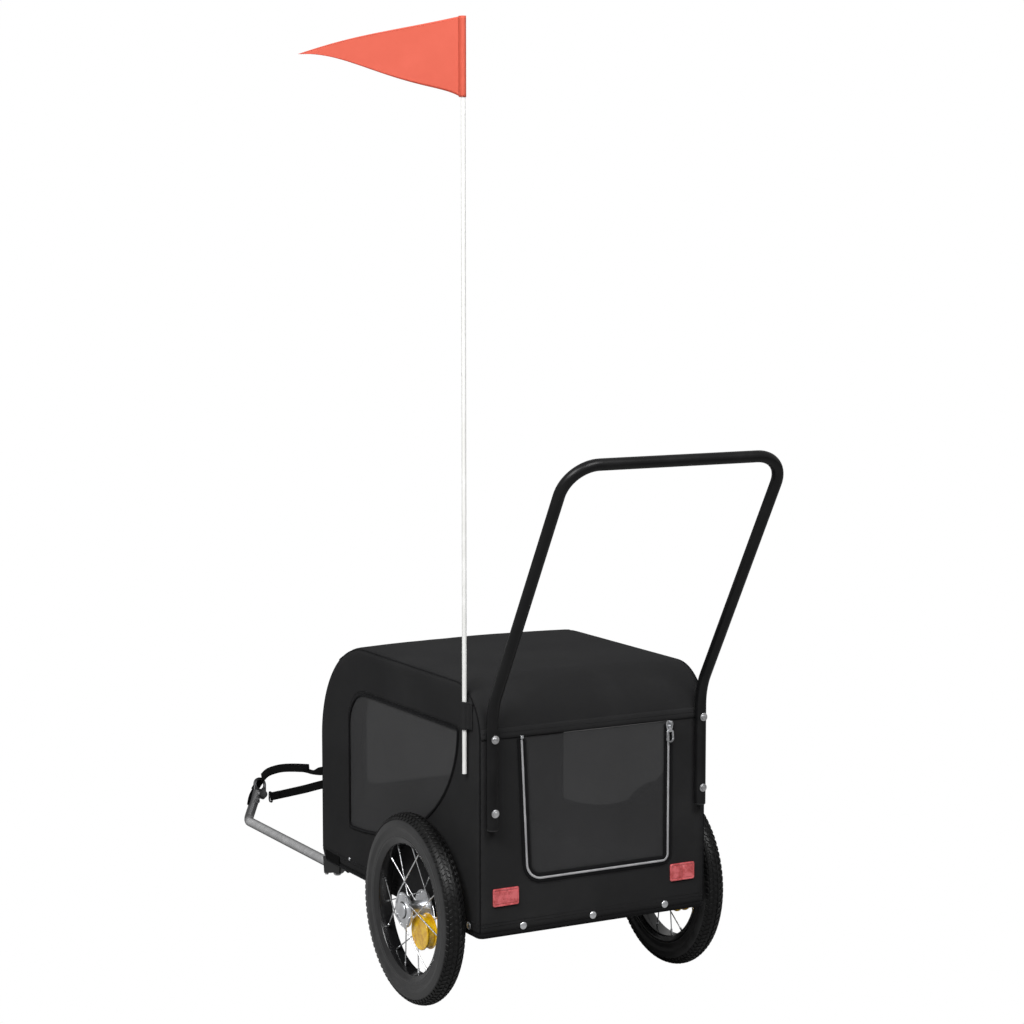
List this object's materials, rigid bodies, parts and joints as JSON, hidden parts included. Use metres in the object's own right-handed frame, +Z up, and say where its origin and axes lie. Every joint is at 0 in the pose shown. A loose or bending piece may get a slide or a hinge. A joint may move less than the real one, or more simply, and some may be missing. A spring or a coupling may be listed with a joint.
{
  "type": "pet bike trailer",
  "caption": "Two-wheeled pet trailer for a bicycle: cloth cabin on a steel frame, mesh windows and doors, spoked wheels, drawbar, push handle and flag.",
  "frame": {"origin": "middle of the footprint's box on the ground, as the trailer parks nose down", "axes": "+Z up, -Y the way it is towed, +X its left side; the wheels turn about X"},
  "size_m": [0.6864, 1.1102, 1.5382],
  "materials": {
    "black_cloth": "coated woven polyester",
    "dark_mesh": "fine see-through mesh",
    "floor_board": "cloth-covered board",
    "webbing": "woven strap",
    "tyre": "moulded rubber",
    "black_rim": "gloss black",
    "bright_steel": "zinc plated",
    "amber_lens": "moulded prism lens",
    "red_lens": "reflective patch",
    "orange_cloth": "thin woven nylon",
    "white_fibreglass": "smooth",
    "grey_steel": "zinc plated, satin",
    "black_steel": "satin powder coat"
  },
  "bodies": {
    "trailer": {"axle_tube": "black_steel", "bracket_pins": "bright_steel", "drawbar": "grey_steel", "drawbar_bracket": "black_steel", "flag": "orange_cloth", "flag_pole": "white_fibreglass", "floor_cross_tube": "black_steel", "floor_frame": "black_steel", "floor_panel": "floor_board", "front_panel": "black_cloth", "front_roof_tube": "black_steel", "handle_bar": "black_steel", "handle_bolts": "bright_steel", "hitch_bolt": "bright_steel", "hitch_eye": "grey_steel", "left_axle": "bright_steel", "left_hoop": "black_steel", "left_side_panel": "black_cloth", "left_tail_reflector": "red_lens", "left_window": "dark_mesh", "pole_sleeve": "black_cloth", "rear_panel": "black_cloth", "rear_roof_tube": "black_steel", "right_axle": "bright_steel", "right_hoop": "black_steel", "right_side_panel": "black_cloth", "right_tail_reflector": "red_lens", "right_window": "dark_mesh", "roof_panel": "black_cloth", "safety_strap": "webbing", "strap_ring": "bright_steel", "strap_tail": "webbing"},
    "left_wheel": {"left_tyre": "tyre", "left_rim": "black_rim", "left_spokes": "bright_steel", "left_hub": "bright_steel", "left_reflector": "amber_lens"},
    "right_wheel": {"right_tyre": "tyre", "right_rim": "black_rim", "right_spokes": "bright_steel", "right_hub": "bright_steel", "right_reflector": "amber_lens"},
    "rear_flap": {"rear_door": "dark_mesh"},
    "front_flap": {"front_door": "dark_mesh"}
  },
  "joints": [
    {"name": "left_wheel_spin", "type": "hinge", "parent": "trailer", "child": "left_wheel", "pos_m": [0.15235, 0.26284, 0.1525], "axis": [1, 0, 0], "continuous": true},
    {"name": "right_wheel_spin", "type": "hinge", "parent": "trailer", "child": "right_wheel", "pos_m": [-0.32065, 0.26284, 0.1525], "axis": [1, 0, 0], "continuous": true},
    {"name": "rear_door_lift", "type": "hinge", "parent": "trailer", "child": "rear_flap", "pos_m": [-0.08415, 0.3788, 0.46723], "axis": [1, 0, 0], "range_deg": [0, 110]},
    {"name": "front_door_lift", "type": "hinge", "parent": "trailer", "child": "front_flap", "pos_m": [-0.08415, -0.13202, 0.43804], "axis": [-1, 0, 0], "range_deg": [0, 110]}
  ]
}
